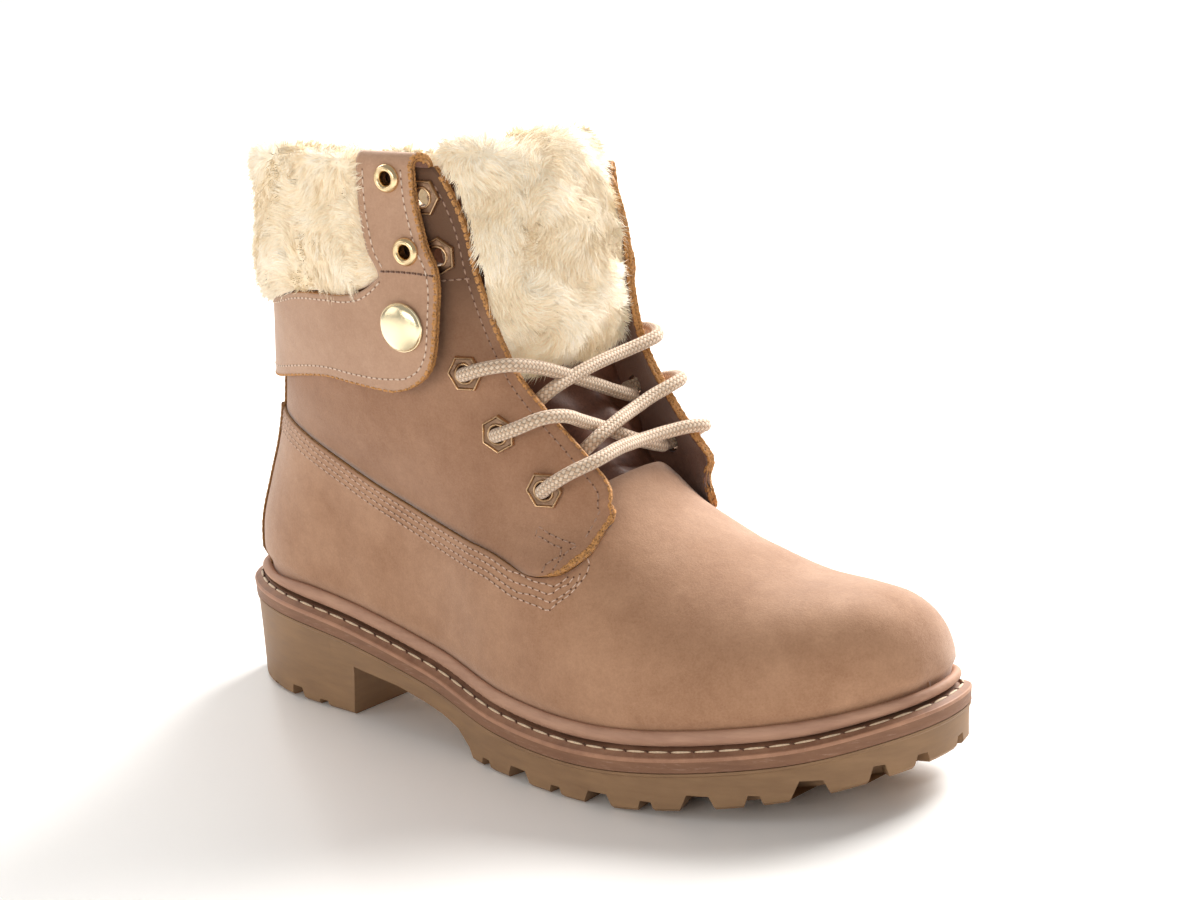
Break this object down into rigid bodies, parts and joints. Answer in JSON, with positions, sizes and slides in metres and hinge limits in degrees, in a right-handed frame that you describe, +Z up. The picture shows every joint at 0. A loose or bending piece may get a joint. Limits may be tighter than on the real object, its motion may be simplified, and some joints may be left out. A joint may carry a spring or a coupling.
{
  "type": "lace-up ankle boot",
  "caption": "Right lace-up ankle boot with a folded fur-lined cuff, fur-faced tongue, hexagonal eyelets and a heeled lug sole.",
  "frame": {"origin": "on the floor under the middle of the heel, at the heel's resting face", "axes": "+X to the toe, +Y to the inner (medial) side, +Z up from the floor"},
  "size_m": [0.2755, 0.1036, 0.1955],
  "materials": {
    "outsole_rubber": "tan moulded rubber",
    "midsole_rubber": "rose-brown moulded rubber",
    "lining": "brushed textile",
    "upper_leather": "dusty-rose nubuck",
    "cuff_leather": "dusty-rose nubuck",
    "fur": "cream pile",
    "eyelet_brass": "antique",
    "cuff_eyelet_brass": "polished",
    "snap_brass": "polished",
    "lace_cord": "round braid"
  },
  "bodies": {
    "root": {"outsole": "outsole_rubber", "midsole": "midsole_rubber", "rand": "midsole_rubber", "insole": "lining", "upper": "upper_leather", "tongue": "upper_leather", "tongue_fur": "fur", "cuff": "cuff_leather", "cuff_fur": "fur", "eyelet_lateral_1": "eyelet_brass", "eyelet_lateral_2": "eyelet_brass", "eyelet_lateral_3": "eyelet_brass", "eyelet_lateral_4": "eyelet_brass", "eyelet_lateral_5": "eyelet_brass", "cuff_eyelet_lateral_1": "cuff_eyelet_brass", "cuff_eyelet_lateral_2": "cuff_eyelet_brass", "snap_lateral": "snap_brass", "eyelet_medial_1": "eyelet_brass", "eyelet_medial_2": "eyelet_brass", "eyelet_medial_3": "eyelet_brass", "eyelet_medial_4": "eyelet_brass", "eyelet_medial_5": "eyelet_brass", "cuff_eyelet_medial_1": "cuff_eyelet_brass", "cuff_eyelet_medial_2": "cuff_eyelet_brass", "snap_medial": "snap_brass", "lace_top_over": "lace_cord", "lace_middle_over": "lace_cord", "lace_bottom_bar": "lace_cord"}
  },
  "joints": []
}
